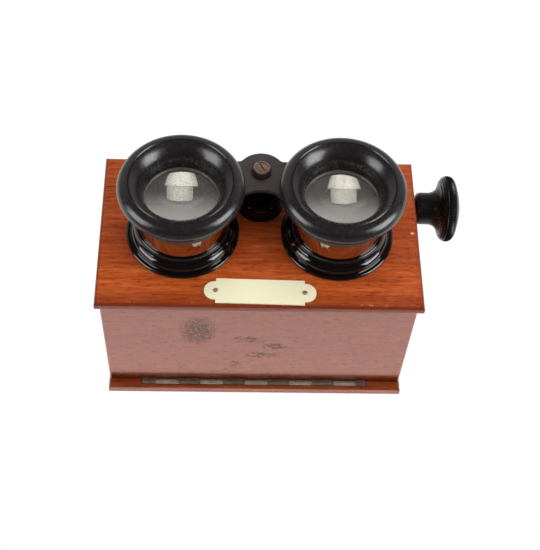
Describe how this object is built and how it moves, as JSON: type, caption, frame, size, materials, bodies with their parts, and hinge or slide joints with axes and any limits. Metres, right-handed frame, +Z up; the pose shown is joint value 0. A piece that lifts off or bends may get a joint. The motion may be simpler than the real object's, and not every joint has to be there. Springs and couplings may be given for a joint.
{
  "type": "stereoscope",
  "caption": "Mahogany box viewer with focusing twin eyepieces on a rack and pinion, a slot for glass stereo slides and a hinged ground-glass base.",
  "frame": {"origin": "centre of the case in plan, on the underside of the base", "axes": "+X to the focus knob, +Y to the rear, away from the hinge, +Z up along the eyepieces"},
  "size_m": [0.1566, 0.0756, 0.114],
  "materials": {
    "mahogany": "french polished mahogany, worn at the edges",
    "dark_wood": "blackened matt wood",
    "ebonite": "turned black hard rubber, polished",
    "nickel": "polished nickel plate",
    "black_metal": "satin black lacquer",
    "brass": "turned brass, dull",
    "hinge_brass": "tarnished plated brass",
    "steel": "bright steel",
    "bronze": "bronzed brass, rubbed",
    "ivory": "ivory coloured sheet, semi-gloss",
    "lens_glass": "clear polished lens",
    "ground_glass": "ground on one face, diffusing"
  },
  "bodies": {
    "case": {"top_plate": "mahogany", "front_wall": "mahogany", "rear_wall": "mahogany", "left_wall": "mahogany", "right_wall": "mahogany", "slide_runner_front": "dark_wood", "slide_runner_rear": "dark_wood", "mask_board": "dark_wood", "septum": "dark_wood", "flange_left": "ebonite", "flange_right": "ebonite", "flange_nut_left": "brass", "flange_nut_right": "brass", "post_collar": "ebonite", "focus_block": "brass", "block_screws": "steel", "shaft_bush": "brass", "plaque": "ivory", "plaque_screws": "bronze", "hinge_leaf_case": "hinge_brass", "hinge_pin": "steel", "case_hinge_screws": "hinge_brass", "catch_socket": "brass"},
    "carriage": {"sleeve_left": "nickel", "sleeve_right": "nickel", "eyecup_left": "ebonite", "eyecup_right": "ebonite", "lens_left": "lens_glass", "lens_right": "lens_glass", "lens_ring_left": "black_metal", "lens_ring_right": "black_metal", "bridge_plate": "black_metal", "bridge_screw": "bronze", "bridge_washer": "bronze", "focus_post": "black_metal", "focus_rack": "brass"},
    "drive": {"focus_knob": "ebonite", "focus_shaft": "steel", "pinion": "brass", "shaft_collar": "brass", "knob_set_screw": "steel"},
    "base_door": {"door_rail_front": "mahogany", "door_rail_rear": "mahogany", "door_rail_left": "mahogany", "door_rail_right": "mahogany", "ground_glass": "ground_glass", "glass_brads": "brass", "hinge_leaf_door": "hinge_brass", "door_hinge_screws": "hinge_brass", "catch_stud": "brass"}
  },
  "joints": [
    {"name": "focus_slide", "type": "slide", "parent": "case", "child": "carriage", "axis": [0, 0, 1], "range_m": [-0.01, 0.006]},
    {"name": "knob_turn", "type": "hinge", "parent": "case", "child": "drive", "pos_m": [0.0662, 0.02269, 0.0651], "axis": [1, 0, 0], "range_deg": [-91, 151.5]},
    {"name": "door_swing", "type": "hinge", "parent": "case", "child": "base_door", "pos_m": [0, -0.03465, 0.006], "axis": [-1, 0, 0], "range_deg": [0, 105]}
  ],
  "couplings": [
    {"joint": "knob_turn", "follows": "focus_slide", "rad_per_m": -263.16}
  ]
}
